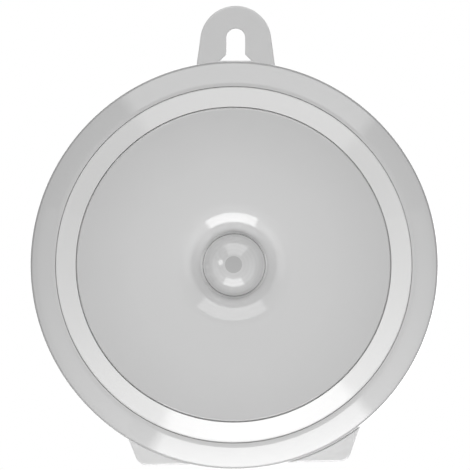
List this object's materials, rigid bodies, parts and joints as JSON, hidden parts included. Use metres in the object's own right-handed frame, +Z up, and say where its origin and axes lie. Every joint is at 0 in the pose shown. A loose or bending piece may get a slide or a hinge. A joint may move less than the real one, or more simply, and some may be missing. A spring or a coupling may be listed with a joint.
{
  "type": "motion sensor light",
  "caption": "Round cell-powered wall light with a crowned white face, a domed motion sensor lens, a sloping light ring, a keyhole hang tab above and a foot below.",
  "frame": {"origin": "centre of the round back plate's rear face, in the wall's plane", "axes": "+Y into the wall, so the light faces -Y; +Z up through the hang tab; +X to the right as seen from the room"},
  "size_m": [0.132, 0.033, 0.1508],
  "materials": {
    "housing_plastic": "gloss off-white",
    "back_plastic": "satin off-white",
    "opal": "satin opal diffuser",
    "lens_plastic": "milky sensor lens",
    "reflector_white": "bright white",
    "board": "green solder mask",
    "led": "phosphor under clear resin",
    "steel": "zinc plated",
    "nickel": "nickel plated",
    "black_plastic": "black",
    "filter_glass": "dark infrared filter",
    "tray_plastic": "dark grey",
    "cell_wrap": "plain dark blue sleeve",
    "lead_red": "red insulation"
  },
  "bodies": {
    "light": {"back_shell": "back_plastic", "housing": "housing_plastic", "light_ring": "opal", "front_cover": "housing_plastic", "pir_lens": "lens_plastic", "reflector": "reflector_white", "main_board": "board", "led_1": "led", "led_2": "led", "led_3": "led", "led_4": "led", "led_5": "led", "led_6": "led", "led_7": "led", "led_8": "led", "pyro_sensor": "nickel", "pyro_window": "filter_glass", "light_sensor": "filter_glass", "control_chip": "black_plastic", "regulator": "black_plastic", "capacitor_1": "black_plastic", "capacitor_2": "black_plastic", "battery_tray": "tray_plastic", "cell_1": "cell_wrap", "cell_2": "cell_wrap", "cell_3": "cell_wrap", "contact_spring_1": "steel", "contact_spring_2": "steel", "contact_spring_3": "steel", "contact_positive": "nickel", "contact_negative": "nickel", "contact_link_left": "nickel", "contact_link_right": "nickel", "switch_body": "black_plastic", "switch_lead_1": "lead_red", "switch_lead_2": "lead_red", "switch_lead_3": "lead_red", "housing_screw_1": "steel", "housing_screw_2": "steel", "housing_screw_3": "steel", "housing_screw_4": "steel", "tray_screw_1": "steel", "tray_screw_2": "steel"},
    "battery_door": {"battery_door": "back_plastic"},
    "mode_knob": {"mode_knob": "black_plastic"}
  },
  "joints": [
    {"name": "door_hinge", "type": "hinge", "parent": "light", "child": "battery_door", "pos_m": [0, -0.0003, -0.0058], "axis": [1, 0, 0], "range_deg": [0, 100]},
    {"name": "knob_slide", "type": "slide", "parent": "light", "child": "mode_knob", "axis": [1, 0, 0], "range_m": [-0.002, 0.002]}
  ]
}
